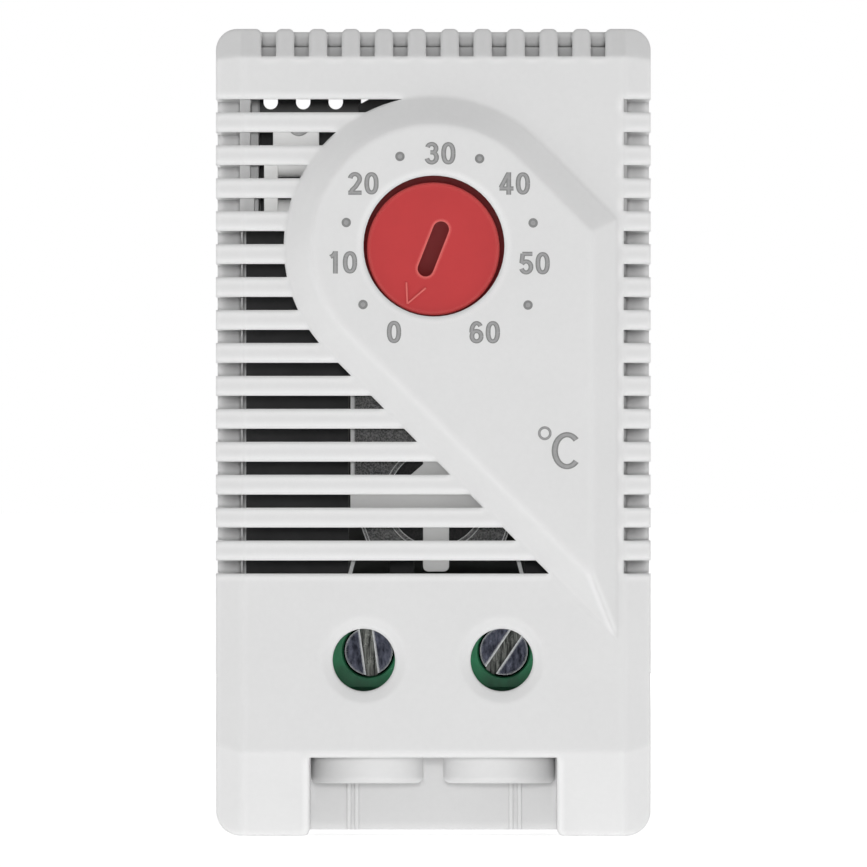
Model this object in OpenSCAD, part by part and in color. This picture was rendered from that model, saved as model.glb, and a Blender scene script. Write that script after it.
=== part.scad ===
/* [Housing] */
// Width of the housing across the rail
body_w = 33; // [32:0.5:36]
// Height of the housing along the panel
body_h = 61.3; // [61:0.1:63]
// Depth from the front face to the rail seat
front_depth = 37.5; // [37:0.5:39]
// Depth of the rear shell in front of the rail seat
rear_depth = 9; // [8.5:0.1:9.5]
// How far the rail hooks reach behind the rail seat
hook_depth = 3.5; // [3.2:0.1:4.5]
// Thickness of the side and front walls
wall = 1.9; // [1.6:0.1:1.9]
// Thickness of the slotted top wall
top_wall = 1.1; // [1:0.1:1.4]

/* [Ventilation] */
// Number of horizontal slots down the front
slot_count = 15; // [8:1:15]
// Distance from one slot or groove to the next
vent_pitch = 2.5; // [2.4:0.05:2.6]
// Height of a front slot
slot_h = 1.0; // [0.8:0.1:1.2]
// Height of the uppermost slot above the middle of the housing
first_slot_z = 24.8; // [24.5:0.1:25]
// Number of grooves over the top edge and of vents in the back
groove_count = 11; // [5:2:11]
// Width of a groove
groove_w = 1.1; // [0.9:0.1:1.3]

/* [Dial] */
// Height of the dial axis above the middle of the housing
dial_z = 13.93; // [13.5:0.01:14.5]
// Diameter of the dial's visible face
dial_d = 10.1; // [9.5:0.1:10.1]
// Radius of the raised platform at its foot
platform_r = 11.4; // [11:0.05:11.6]
// Height of the raised platform above the front face
platform_h = 2.0; // [1.8:0.1:2.2]

/* [Terminals] */
// Distance between the two terminal screws
terminal_pitch = 10.26; // [10:0.02:10.3]
// Height of the terminal screws above the middle of the housing
terminal_z = -16.6; // [-17:0.1:-16.2]
// Diameter of the screwdriver holes in the cover
driver_hole_d = 4.75; // [4.5:0.05:5]
// Bore of the two wire collars
wire_bore_d = 4.2; // [3.8:0.1:4.6]
// Diameter of the two wire collars
collar_d = 8.55; // [8:0.05:8.6]

/* [Rail] */
// Height of the mounting rail
rail_h = 35; // [35:0.1:35.2]
// Thickness of the mounting rail
rail_t = 1.0; // [1:0.1:1.1]

/* [Hidden] */
$fn = 48;
eps = 0.01;

// Planes across the depth, with the rail seat at zero and the front negative
front_y = -front_depth;
part_y = -rear_depth;
platform_y = front_y - platform_h;
cover_in_y = front_y + wall;
half_w = body_w / 2;
half_h = body_h / 2;
inner_w = half_w - wall;
top_in_z = half_h - top_wall;

// Bevels and corners of the cover
side_bevel_w = 2.05;
side_bevel_d = 1.5;
top_bevel_h = 2.1;
top_bevel_d = 2.1;
low_bevel_h = 6.4;
low_bevel_d = 3.2;
top_corner_r = 1.6;
low_corner_r = 1.9;
foot_r = 0.5;
rail_in = 0.15;
low_side_d = 1.6;
top_side_d = 1.23;
slot_end_y = part_y - 2.5;
face_half = half_w - side_bevel_w;
slope_extra = 0.05;
face_top_z = half_h - top_bevel_h;
face_low_z = low_bevel_h - half_h;
rib_round = 0.45;

// Notch at the bottom of the cover, where the wires come in
notch_half = 9.4;
notch_z = -24.66;
leg_wall = 1.6;

// Raised platform round the dial
platform_slope = 2.1;
platform_top_r = platform_r - platform_slope;
platform_right = 14.0;
platform_x = 0.05;
platform_z = dial_z + 0.22;
hub_hole_d = dial_d + 0.6;
dial_face_y = platform_y + 0.4;
carrier_spots = [[-10.2, 23.35], [8.6, 4.6]];

// Mounting plate and what stands on it
plate_y = -15.5;
plate_t = 1.5;
plate_top_z = 24.1;
plate_bottom_z = -14.4;
plate_half = 14.3;
plate_screw_spots = [[-7.4, 17], [9.5, 21], [-11.6, -12.3], [11.6, -12.3]];

// Snap tongues of the rear shell inside the cover
tongue_x = 13.5;
tongue_t = 1.0;
guide_x = [13.9, 14.7];
guide_rib_x = 13.3;
guide_front_y = -34;
upper_tongue_z = [16.4, 25.6];
lower_tongue_z = [-22.6, -16.6];
guide_pocket_x = 14.75;
catch_z = [18.15, 18.95];
catch_y = -13;
lower_snap_z = -19.5;

// Switch mechanism
sheet_t = 0.8;
frame_half = 4.5;
frame_top_z = 22.6;
frame_front_y = -33;
pivot_y = -27;
pivot_z = 19.3;
pin_r = 0.75;
running = 0.05;
rocker_y = -28.4;
strip_t = 0.5;
strip_y = rocker_y + sheet_t;
strip_half = 6.5;
ring_r = 4.0;
plunger_half = 2.0;
stem_r = 1.25;
nose_x = 0.2;
nose_z = -5.0;
arm_y = -22.75;
arm_t = 0.3;
arm_pivot_z = 5.45;
arm_eye_r = 0.45;
arm_low_z = -9.6;
contact_z = -8;
contact_r = 1.5;

// Terminals
terminal_mid = 0.23;
terminal_x = [terminal_mid - terminal_pitch / 2, terminal_mid + terminal_pitch / 2];
driver_hole_x = [-5.27, 5.2];
driver_hole_z = terminal_z - 0.66;
block_x = [-9.93, 10.39];
block_y = [-34.6, -18.6];
block_z = [-22.15, -11.8];
chamber_half = 2.75;
screw_head_r = 1.93;
screw_shank_r = 1.5;
screw_face_y = -33.9;
cage_half = 2.6;
cage_z = [-19.2, -14.2];
collar_x = 5.04;
wire_y = -23.4;
collar_low_z = -26.7;
tongue_y = -26.1;
rivet_r = 0.6;
rivet_spots = [[-2.8, 12], [2.8, 12], [terminal_x[0], -2], [terminal_x[1], -12]];

// Rail latch
rear_low_z = -30.4;
rear_vent_z = 25.4;
channel_y = -3.4;
channel_top_z = -9.5;
peg_z = -25.5;
spring_top_z = -12.6;
latch_half = 6.9;
latch_low_z = -30.2;
latch_top_z = -9.6;
rail_edge = rail_h / 2;

// Places something at x and z and turns a cylinder to run along the depth
module depth_cylinder(x, z, y0, y1, r, r2 = -1) {
    translate([x, y0, z])
        rotate([-90, 0, 0])
            cylinder(h = y1 - y0, r1 = r, r2 = r2 < 0 ? r : r2);
}

module width_cylinder(y, z, x0, x1, r) {
    translate([x0, y, z])
        rotate([0, 90, 0])
            cylinder(h = x1 - x0, r = r);
}

// A box from its two corners
module block(low, high) {
    translate(low)
        cube(high - low);
}

// A box on one side of the middle, given by its distance from it
module side_block(side, x_span, y_span, z_span) {
    middle = side * (x_span[0] + x_span[1]) / 2;
    half = (x_span[1] - x_span[0]) / 2;
    block([middle - half, y_span[0], z_span[0]], [middle + half, y_span[1], z_span[1]]);
}

// Extrudes a drawing of x and z along the depth
module front_extrude(y0, y1) {
    translate([0, y1, 0])
        rotate([90, 0, 0])
            linear_extrude(height = y1 - y0)
                children();
}

// Extrudes a drawing of depth and z across the width
module side_extrude(x0, x1) {
    translate([x0, 0, 0])
        rotate([90, 0, 90])
            linear_extrude(height = x1 - x0)
                children();
}

// A rectangle with its own radius at each end of its height
module rounded_outline(x0, x1, z0, z1, low_r, high_r) {
    translate([x0, z0 + low_r])
        square([x1 - x0, z1 - z0 - low_r - high_r]);
    translate([x0 + low_r, z0])
        square([x1 - x0 - 2 * low_r, low_r + eps]);
    translate([x0 + high_r, z1 - high_r - eps])
        square([x1 - x0 - 2 * high_r, high_r + eps]);
    for (x = [x0 + low_r, x1 - low_r])
        translate([x, z0 + low_r])
            circle(r = low_r);
    for (x = [x0 + high_r, x1 - high_r])
        translate([x, z1 - high_r])
            circle(r = high_r);
}

// A tube of small round section swept along a list of points
function cross_of(a, b) = [a[1] * b[2] - a[2] * b[1], a[2] * b[0] - a[0] * b[2], a[0] * b[1] - a[1] * b[0]];
function unit_of(v) = v / norm(v);
function direction_at(path, i) =
    unit_of(path[min(i + 1, len(path) - 1)] - path[max(i - 1, 0)]);

module swept_wire(path, r, side, sides = 6) {
    count = len(path);
    rings = [
        for (i = [0 : count - 1])
            let (along = direction_at(path, i),
                 u = unit_of(cross_of(along, side(i))),
                 v = cross_of(along, u))
            for (k = [0 : sides - 1])
                path[i] + r * (cos(360 * k / sides) * u + sin(360 * k / sides) * v)
    ];
    walls = [
        for (i = [0 : count - 2])
            for (k = [0 : sides - 1])
                let (a = i * sides + k,
                     b = i * sides + (k + 1) % sides)
                each [[a, b, b + sides], [a, b + sides, a + sides]]
    ];
    start_cap = [[for (k = [0 : sides - 1]) sides - 1 - k]];
    end_cap = [[for (k = [0 : sides - 1]) (count - 1) * sides + k]];
    polyhedron(points = rings, faces = concat(walls, start_cap, end_cap), convexity = 8);
}

// Raised platform: half a cone round the dial that runs on to the lower right as a sloped bar
module platform_shape(foot_r, top_r, foot_right, top_right, y0, y1) {
    intersection() {
        translate([platform_x, 0, platform_z])
            rotate([0, 45, 0]) {
                intersection() {
                    depth_cylinder(0, 0, y0, y1, top_r, foot_r);
                    block([-foot_r - 1, y0 - 1, -foot_r - 1], [0, y1 + 1, foot_r + 1]);
                }
                side_extrude(0, 45)
                    polygon([[y1, -foot_r], [y1, foot_r], [y0, top_r], [y0, -top_r]]);
            }
        translate([0, 0, -30])
            linear_extrude(height = 60)
                polygon([[-20, y1], [foot_right, y1], [top_right, y0], [-20, y0]]);
    }
}

// A long bar of the cover's section with side bevels of some depth, whose front lies at zero
module bevelled_bar(flat_half, bevel_d) {
    x = flat_half + 2 * side_bevel_w;
    d = 2 * bevel_d;
    translate([0, 0, -60])
        linear_extrude(height = 120)
            polygon([[-x, 60], [-x, d], [-flat_half, 0], [flat_half, 0], [x, d], [x, 60]]);
}

// Outer body of the cover: its side bevels follow the face, the slope below it and the one above it
module cover_body() {
    intersection() {
        front_extrude(front_y, part_y)
            rounded_outline(-half_w, half_w, -half_h, half_h, low_corner_r, top_corner_r);
        translate([0, front_y, 0])
            bevelled_bar(face_half, side_bevel_d);
        translate([0, front_y, face_low_z])
            rotate([atan2(low_bevel_d, low_bevel_h), 0, 0])
                bevelled_bar(face_half + slope_extra, low_side_d);
        translate([0, front_y, face_top_z])
            rotate([-atan2(top_bevel_d, top_bevel_h), 0, 0])
                bevelled_bar(face_half + slope_extra, top_side_d);
    }
}

// Hollow of the cover, with the pockets in its two legs
module cover_hollow() {
    block([-inner_w, cover_in_y, notch_z + leg_wall], [inner_w, part_y + 1, top_in_z]);
    for (side = [-1, 1]) {
        x0 = side < 0 ? -inner_w : notch_half + leg_wall;
        block([x0, front_y + 5, -half_h + 1.6], [x0 + inner_w - notch_half - leg_wall, part_y + 1, -22]);
    }
    block([-notch_half, cover_in_y, notch_z - 1], [notch_half, part_y + 1, -22]);
    block([-guide_pocket_x, cover_in_y, upper_tongue_z[0] - 0.1],
          [guide_pocket_x, part_y + 1, upper_tongue_z[1] + 0.2]);
    block([-inner_w - 0.95, catch_y - 1.6, catch_z[0] - 0.1],
          [inner_w + 0.95, catch_y + 0.05, catch_z[1] + 0.1]);
}

// Horizontal slots: across the left of the front up to the platform, and round both sides
module cover_slots() {
    difference() {
        for (i = [0 : slot_count - 1]) {
            z = first_slot_z - i * vent_pitch - slot_h / 2;
            block([-half_w - 1, front_y - 1, z], [12, cover_in_y + 1, z + slot_h]);
        }
        block([0, front_y - 2, dial_z], [40, cover_in_y + 2, half_h]);
        front_extrude(front_y - 2, cover_in_y + 2)
            platform_outline();
    }
    for (i = [0 : slot_count - 1]) {
        z = first_slot_z - i * vent_pitch - slot_h / 2;
        block([-half_w - 1, front_y - 1, z], [-inner_w, slot_end_y, z + slot_h]);
        block([half_w - side_bevel_w, front_y - 1, z], [half_w + 1, slot_end_y, z + slot_h]);
    }
}

module platform_outline() {
    translate([platform_x, platform_z]) {
        circle(r = platform_r);
        rotate(-45)
            translate([0, -platform_r])
                square([45, 2 * platform_r]);
    }
}

// Grooves over the top edge, with rounded shoulders on the ribs between them
module top_grooves() {
    for (k = [0 : groove_count - 1]) {
        x = (k - (groove_count - 1) / 2) * vent_pitch;
        block([x - groove_w / 2, front_y - 1, face_top_z], [x + groove_w / 2, slot_end_y, half_h + 1]);
        difference() {
            block([x - groove_w / 2 - rib_round, front_y - 1, half_h - rib_round],
                  [x + groove_w / 2 + rib_round, slot_end_y, half_h + 1]);
            for (side = [-1, 1])
                depth_cylinder(x + side * (groove_w / 2 + rib_round), half_h - rib_round,
                               front_y - 2, slot_end_y + 1, rib_round);
        }
    }
}

module cover_notch() {
    block([-notch_half, front_y - 1, -half_h - 1], [notch_half, part_y + 1, notch_z]);
    for (side = [-1, 1])
        difference() {
            block([side * (notch_half + foot_r / 2) - foot_r / 2, front_y - 1, -half_h - 1],
                  [side * (notch_half + foot_r / 2) + foot_r / 2, part_y + 1, -half_h + foot_r]);
            depth_cylinder(side * (notch_half + foot_r), -half_h + foot_r, front_y - 2, part_y + 2, foot_r);
        }
}

// Hole over a terminal screw, dished at the front to lead the blade in
module driver_hole(x) {
    r = driver_hole_d / 2;
    depth_cylinder(x, driver_hole_z, front_y - 1, block_y[0] + 1, r);
    depth_cylinder(x, driver_hole_z, front_y - eps, front_y + 0.4, r + 0.85, r + 0.05);
}

// Rails down the inside of the slotted side walls, which join the ribs
module side_rails() {
    for (side = [-1, 1])
        side_block(side, [inner_w - rail_in, inner_w + eps], [front_y + 3.6, front_y + 5.2],
                   [-14.5, upper_tongue_z[0] - 0.2]);
}

// Peg behind the front wall that the dial's carrier is staked to
module carrier_peg(spot, root_y) {
    depth_cylinder(spot[0], spot[1], root_y - eps, cover_in_y + 1.7, 0.8);
}

module front_cover() {
    color("gainsboro") {
        difference() {
            union() {
                difference() {
                    cover_body();
                    cover_hollow();
                    cover_slots();
                    top_grooves();
                    cover_notch();
                }
                platform_shape(platform_r - 0.05, platform_top_r, platform_right, platform_right - 1.95,
                               platform_y, front_y + 0.05);
                for (x = driver_hole_x)
                    depth_cylinder(x, driver_hole_z, cover_in_y - eps, block_y[0] - 0.1,
                                   driver_hole_d / 2 + 1);
            }
            platform_shape(platform_top_r, platform_top_r, platform_right - 4, platform_right - 4,
                           platform_y + wall, cover_in_y + eps);
            depth_cylinder(platform_x, platform_z, platform_y - 1, front_y + 1, hub_hole_d / 2);
            for (x = driver_hole_x)
                driver_hole(x);
            for (side = [-1, 1])
                side_block(side, [tongue_x, half_w + 1], [-20.2, -18.6],
                           [lower_snap_z - 2.3, lower_snap_z + 2.3]);
        }
        side_rails();
        carrier_peg(carrier_spots[0], cover_in_y);
        carrier_peg(carrier_spots[1], platform_y + wall);
    }
}

// Hollow of the rear shell, kept clear of the latch channel
module rear_hollow() {
    top_z = half_h - wall;
    block([-inner_w, part_y - 1, channel_top_z + 1.6], [inner_w, -2, top_z]);
    block([-inner_w, -2.1, rail_edge + 2], [inner_w, hook_depth - wall, top_z]);
    block([-inner_w, part_y - 1, -23.9], [inner_w, channel_y - wall, channel_top_z + 2]);
    block([-9.6, part_y + 1.6, rear_low_z + wall], [9.6, channel_y - wall, -23]);
    for (side = [-1, 1])
        block([side * 12.15 - 2.55, part_y - 1, rear_low_z + wall],
              [side * 12.15 + 2.55, -2, channel_top_z + 2]);
}

// Channel for the rail latch, open at the back and below, with a guide groove each side
module latch_channel() {
    block([-latch_half - 0.1, channel_y, rear_low_z - 1], [latch_half + 0.1, hook_depth + 1, channel_top_z]);
    block([-latch_half - 1.1, channel_y + 0.8, rear_low_z - 1],
          [latch_half + 1.1, channel_y + 2.2, channel_top_z]);
}

module rear_vents() {
    for (k = [0 : groove_count - 1]) {
        x = (k - (groove_count - 1) / 2) * vent_pitch;
        block([x - groove_w / 2, hook_depth - wall - 1, rear_vent_z],
              [x + groove_w / 2, hook_depth + 1, 28.4]);
        depth_cylinder(x, rear_vent_z, hook_depth - wall - 1, hook_depth + 1, groove_w / 2);
    }
}

// Lip that enters the cover on three sides and lines it up
module rear_lip() {
    difference() {
        union() {
            block([-inner_w + 0.15, slot_end_y + 0.05, -21.9], [inner_w - 0.15, part_y + 1, top_in_z - 0.05]);
            block([-inner_w - eps, part_y, -21.9], [inner_w + eps, part_y + 1.5, half_h - wall + eps]);
        }
        block([-tongue_x + 0.1, part_y - 3, -23], [tongue_x - 0.1, part_y + 3, top_in_z - 1.3]);
    }
}

// Ramped catch that stands out from a tongue
module snap_catch(side, reach_x, y, z_span, ramp) {
    translate([0, 0, z_span[0]])
        linear_extrude(height = z_span[1] - z_span[0])
            polygon([
                [side * (inner_w - 0.3), y - ramp],
                [side * (inner_w - 0.3), y],
                [side * reach_x, y],
                [side * reach_x, y - 0.5]
            ]);
}

// Long upper tongue behind the slots: a stiffened guide whose catch enters a recess in the wall
module guide_tongue(side) {
    root_y = part_y + 1.4;
    side_block(side, guide_x, [guide_front_y, root_y], upper_tongue_z);
    side_block(side, [guide_x[0] - 0.3, guide_x[1]], [guide_front_y, root_y], [upper_tongue_z[0], 18.4]);
    side_block(side, [guide_rib_x, guide_x[1]], [guide_front_y + 5, root_y], [upper_tongue_z[0], 23.1]);
    side_block(side, [guide_rib_x, inner_w + 0.05], [part_y, root_y], upper_tongue_z);
    snap_catch(side, inner_w + 0.8, catch_y, catch_z, 1.4);
}

// Short lower tongue whose catch stands in a window of the side wall
module snap_tongue(side) {
    root_y = part_y + 1.4;
    side_block(side, [tongue_x, tongue_x + tongue_t], [-21.4, root_y], lower_tongue_z);
    side_block(side, [tongue_x - 0.15, inner_w + 0.05], [part_y, root_y], lower_tongue_z);
    snap_catch(side, inner_w + 1, -18.7, [lower_snap_z - 2.1, lower_snap_z + 2.1], 1.4);
}

module rear_housing() {
    color("lightgray")
    difference() {
        union() {
            difference() {
                intersection() {
                    front_extrude(part_y, hook_depth)
                        rounded_outline(-half_w, half_w, rear_low_z, half_h, low_corner_r, top_corner_r);
                    side_extrude(-half_w - 1, half_w + 1)
                        polygon([
                            [part_y, rear_low_z],
                            [hook_depth - 0.8, rear_low_z],
                            [hook_depth, rear_low_z + 0.8],
                            [hook_depth, -rail_edge - 0.5],
                            [0, -rail_edge - 0.5],
                            [0, rail_edge - 1.4],
                            [-0.3, rail_edge - 1.4],
                            [-0.3, rail_edge + 0.1],
                            [rail_t + 0.2, rail_edge + 0.1],
                            [rail_t + 0.2, rail_edge - 1.3],
                            [rail_t + 0.7, rail_edge - 1.3],
                            [hook_depth, rail_edge - 0.3],
                            [hook_depth, half_h - 0.8],
                            [hook_depth - 0.8, half_h],
                            [part_y, half_h]
                        ]);
                }
                rear_hollow();
                latch_channel();
                rear_vents();
            }
            block([-2, channel_y - eps, peg_z - 1], [2, channel_y + 3, peg_z + 1]);
            rear_lip();
            for (side = [-1, 1]) {
                guide_tongue(side);
                snap_tongue(side);
            }
            for (spot = plate_screw_spots)
                depth_cylinder(spot[0], spot[1], plate_y + plate_t, -1.9, 2.2);
            for (x = [-6.45, -5.85, 5.95, 6.6])
                block([x - 0.15, part_y - 0.12, rear_low_z], [x + 0.15, part_y + eps, -24.9]);
        }
        for (spot = plate_screw_spots)
            depth_cylinder(spot[0], spot[1], plate_y, plate_y + plate_t + 6, 0.8);
    }
}

// Sliding latch: a plate in the channel with a sprung hook under the rail's lower edge
module rail_latch() {
    color("dimgray")
    difference() {
        union() {
            side_extrude(-latch_half, latch_half)
                polygon([
                    [channel_y + 0.1, latch_low_z],
                    [hook_depth - 0.9, latch_low_z],
                    [hook_depth - 0.2, latch_low_z + 0.7],
                    [hook_depth - 0.2, -rail_edge - 0.1],
                    [rail_t + 0.7, -rail_edge + 1.3],
                    [rail_t + 0.2, -rail_edge + 1.3],
                    [rail_t + 0.2, -rail_edge - 0.4],
                    [-0.2, -rail_edge - 0.4],
                    [-0.2, latch_top_z],
                    [channel_y + 0.1, latch_top_z]
                ]);
            block([-latch_half - 1, channel_y + 0.9, latch_low_z],
                  [latch_half + 1, channel_y + 2.1, latch_top_z]);
        }
        block([-2.2, channel_y - 1, peg_z - 1.1], [2.2, channel_y + 3.3, spring_top_z]);
        block([-2.5, 1.1, latch_low_z - 1], [2.5, hook_depth + 1, latch_low_z + 2.4]);
    }
}

module latch_spring() {
    turns = 8;
    steps = 16;
    low = peg_z + 1.25;
    high = spring_top_z - 0.25;
    color("silver")
        swept_wire([
            for (i = [0 : turns * steps])
                [1.3 * cos(360 * i / steps), channel_y + 1.6 + 1.3 * sin(360 * i / steps),
                 low + (high - low) * i / (turns * steps)]
        ], 0.2, function(i) [0, 0, 1]);
}

// Red dial: face with rounded edge, screwdriver slot and pointer, flange, hub and stem
module dial_ridge(a, b) {
    translate([a[0], a[1]])
        rotate(atan2(b[1] - a[1], b[0] - a[0]))
            translate([0, -0.065])
                square([norm(b - a), 0.13]);
}

module dial() {
    face_r = dial_d / 2;
    edge_r = 0.25;
    color("firebrick")
    translate([0, dial_face_y, dial_z])
    union() {
        difference() {
            rotate([-90, 0, 0])
                rotate_extrude() {
                    square([face_r - edge_r, 3.3]);
                    translate([0, edge_r])
                        square([face_r, 2.5]);
                    translate([face_r - edge_r, edge_r])
                        circle(r = edge_r);
                    translate([0, 2.2])
                        square([6.2, 1.1]);
                    translate([0, 3.2])
                        square([2.5, 1.3]);
                    translate([0, 4.4])
                        square([stem_r, 3.5]);
                }
            front_extrude(-1, 1.9)
                rotate(-21.5) {
                    translate([-0.6, -1.6])
                        square([1.2, 3.2]);
                    for (z = [-1.6, 1.6])
                        translate([0, z])
                            circle(r = 0.6);
                }
        }
        front_extrude(-0.12, 0.1) {
            dial_ridge([-1.965, -4.15], [-2.04, -2.53]);
            dial_ridge([-1.965, -4.15], [-0.57, -2.97]);
        }
    }
}

// White carrier behind the front wall that holds the dial's flange and guides its hub
module dial_retainer() {
    front = cover_in_y;
    back = cover_in_y + 1.2;
    bead_r = 1.2;
    color("white")
    difference() {
        union() {
            depth_cylinder(0, dial_z, front, back, 7.6);
            block([-12.17, front, 20.95], [-8.67, back, 24.28]);
            block([-12.85, front, 15.6], [-11.8, back, 21]);
            for (z = [20.6, 16.5])
                width_cylinder(front + bead_r + 0.02, z, -12, -3, bead_r);
            translate([0, 0, dial_z])
                rotate([0, 47.3, 0])
                    block([5, front, -1.6], [12.7, back, 1.6]);
            depth_cylinder(carrier_spots[1][0], carrier_spots[1][1], front, back, 1.6);
        }
        depth_cylinder(0, dial_z, front - 1, back + 2, 2.5 + running);
        for (spot = carrier_spots)
            depth_cylinder(spot[0], spot[1], front - 1, back + 1, 0.83);
    }
}

// Square nut on the dial's thread that slides in the frame and pushes the rocker
module adjuster_plunger() {
    nose_r = 1.4;
    color("ivory")
    difference() {
        union() {
            block([-plunger_half, -34.3, dial_z - plunger_half],
                  [plunger_half, -30.2, dial_z + plunger_half]);
            depth_cylinder(0, dial_z, -30.3, rocker_y - 0.05 - nose_r, nose_r);
            translate([0, rocker_y - 0.05 - nose_r, dial_z])
                sphere(r = nose_r);
        }
        depth_cylinder(0, dial_z, -35, -30.8, stem_r + running);
    }
}

// Folded steel frame that carries the pivot and guides the plunger
module switch_frame() {
    back = plate_y;
    color("lightsteelblue")
    difference() {
        union() {
            block([-frame_half, back - sheet_t, 9.6], [frame_half, back, frame_top_z]);
            block([-frame_half, frame_front_y, frame_top_z - sheet_t], [frame_half, back, frame_top_z]);
            block([-frame_half, frame_front_y, 8.6], [frame_half, frame_front_y + sheet_t, frame_top_z]);
            for (side = [-1, 1])
                block([side * (frame_half - sheet_t / 2) - sheet_t / 2, pivot_y - 2.2, pivot_z - 1.7],
                      [side * (frame_half - sheet_t / 2) + sheet_t / 2, pivot_y + 2.2, frame_top_z - eps]);
        }
        block([-plunger_half - running, frame_front_y - 1, dial_z - plunger_half - running],
              [plunger_half + running, frame_front_y + 2, dial_z + plunger_half + running]);
        width_cylinder(pivot_y, pivot_z, -6, 6, pin_r);
        for (x = [-2.8, 2.8])
            depth_cylinder(x, 12, back - 1, back + 1, rivet_r);
    }
}

module pivot_pin() {
    color("silver") {
        width_cylinder(pivot_y, pivot_z, -frame_half - 0.1, frame_half + 0.5, pin_r);
        width_cylinder(pivot_y, pivot_z, -frame_half - 0.7, -frame_half, 1.15);
        width_cylinder(pivot_y, pivot_z, frame_half, frame_half + 0.5, 1.0);
    }
}

// Torsion spring on the pin that keeps the rocker against the plunger
module pivot_spring() {
    turns = 6;
    steps = 16;
    coil_r = 1.12;
    span = 4.2;
    coil = [
        for (i = [0 : turns * steps])
            [-span / 2 + span * i / (turns * steps),
             pivot_y + coil_r * cos(360 * i / steps), pivot_z + coil_r * sin(360 * i / steps)]
    ];
    first_leg = [[-span / 2, pivot_y + coil_r, pivot_z + 2.2], [-span / 2, pivot_y + coil_r, pivot_z + 1]];
    last_leg = [[span / 2, pivot_y + coil_r, pivot_z - 1], [span / 2, strip_y + 0.9, pivot_z - 2.2],
                [span / 2, strip_y + 0.25, pivot_z - 2.5]];
    color("silver")
        swept_wire(concat(first_leg, coil, last_leg), 0.17, function(i) [1, 0, 0.02]);
}

// Steel rocker hung on the pin, which carries the bimetal strip
module rocker() {
    color("silver")
    difference() {
        union() {
            block([-3.5, rocker_y, 9.2], [3.5, rocker_y + sheet_t, pivot_z - 1.9]);
            for (side = [-1, 1]) {
                x0 = side * 3.1 - sheet_t / 2;
                block([x0, rocker_y, 15.9], [x0 + sheet_t, pivot_y + 1.3, pivot_z]);
                width_cylinder(pivot_y - 0.05, pivot_z, x0, x0 + sheet_t, 1.35);
            }
        }
        width_cylinder(pivot_y, pivot_z, -6, 6, pin_r + running);
        for (x = [-2, 2])
            depth_cylinder(x, 11.4, rocker_y - 1, rocker_y + 1, rivet_r);
    }
}

// Bimetal strip with turned-up edges, a waist and a pressed ring round the pusher
module strip_edge(side) {
    line = [[strip_half, 6], [strip_half, -4.9], [5.25, -8.4], [6.4, -9.65], [6.75, -11]];
    inner = [for (i = [len(line) - 1 : -1 : 0]) [side * (line[i][0] - 0.3), line[i][1]]];
    front_extrude(strip_y - 1.1, strip_y + strip_t)
        translate([nose_x, 0])
            polygon(concat([for (p = line) [side * p[0], p[1]]], inner));
}

module bimetal_strip() {
    color("gray")
    difference() {
        union() {
            front_extrude(strip_y, strip_y + strip_t)
                translate([nose_x, 0])
                    polygon([
                        [-3.2, 15.7], [3.2, 15.7], [strip_half, 11.5], [strip_half, -4.9],
                        [5.25, -8.4], [5.15, -9.5], [-5.15, -9.5], [-5.25, -8.4],
                        [-strip_half, -4.9], [-strip_half, 11.5]
                    ]);
            strip_edge(-1);
            strip_edge(1);
            difference() {
                depth_cylinder(nose_x, nose_z, strip_y - 0.35, strip_y + eps, ring_r);
                depth_cylinder(nose_x, nose_z, strip_y - 1, strip_y + 1, ring_r - 0.4);
            }
        }
        depth_cylinder(nose_x, nose_z, strip_y - 1, strip_y + 1, 1.2);
        for (x = [-2, 2])
            depth_cylinder(x, 11.4, strip_y - 1, strip_y + 1, rivet_r);
    }
}

module rivet(x, z, y0, y1, head_r, head_h) {
    depth_cylinder(x, z, y0, y1, rivet_r);
    depth_cylinder(x, z, y0 - head_h, y0, head_r * 0.75, head_r);
    depth_cylinder(x, z, y1, y1 + head_h, head_r, head_r * 0.75);
}

module bimetal_rivets() {
    color("silver")
        for (x = [-2, 2])
            rivet(x, 11.4, rocker_y, strip_y + strip_t, 1.1, 0.4);
}

// Moulded pusher: a bar and stem behind the slots, a boss on the strip and a nose to the contact arm
module contact_pusher() {
    front = cover_in_y + 0.7;
    bar_back = front + 1.3;
    bar_z = [-6.9, -3.6];
    stem_x = [-0.78, 1.2];
    color("gainsboro") {
        block([-6.3, front, bar_z[0]], [6.6, bar_back, bar_z[1]]);
        depth_cylinder(nose_x, nose_z, front + 0.5, strip_y, 1.6);
        front_extrude(front, bar_back) {
            rounded_outline(stem_x[0], stem_x[1], -10.55, -1.2, 0.4, 0.1);
            polygon([
                [stem_x[0] - 1.5, bar_z[1] - 0.1], [stem_x[0] - 1.4, bar_z[1]], [stem_x[0], -2.4],
                [stem_x[1], -2.4], [stem_x[1] + 1.4, bar_z[1]], [stem_x[1] + 1.5, bar_z[1] - 0.1]
            ]);
        }
        depth_cylinder(nose_x, nose_z, strip_y - eps, arm_y - arm_t / 2 - 0.2, 1.2);
    }
}

// Black insulating plate on four posts, which carries the switch and its conductors
module mounting_plate() {
    color("#202020")
    difference() {
        union() {
            block([-plate_half, plate_y, plate_bottom_z], [plate_half, plate_y + plate_t, plate_top_z]);
            front_extrude(plate_y, plate_y + plate_t)
                polygon([[-5.7, 23], [12, 23], [12, 28.3], [0.3, 28.3], [-5.7, 25.05]]);
        }
        for (side = [-1, 1])
            side_block(side, [guide_rib_x - 0.1, half_w], [plate_y - 1, plate_y + 3],
                       [upper_tongue_z[0] - 0.3, plate_top_z + 1]);
        for (spot = plate_screw_spots)
            depth_cylinder(spot[0], spot[1], plate_y - 1, plate_y + 3, 0.85);
        for (spot = rivet_spots)
            depth_cylinder(spot[0], spot[1], plate_y - 1, plate_y + 3, rivet_r);
    }
}

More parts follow.
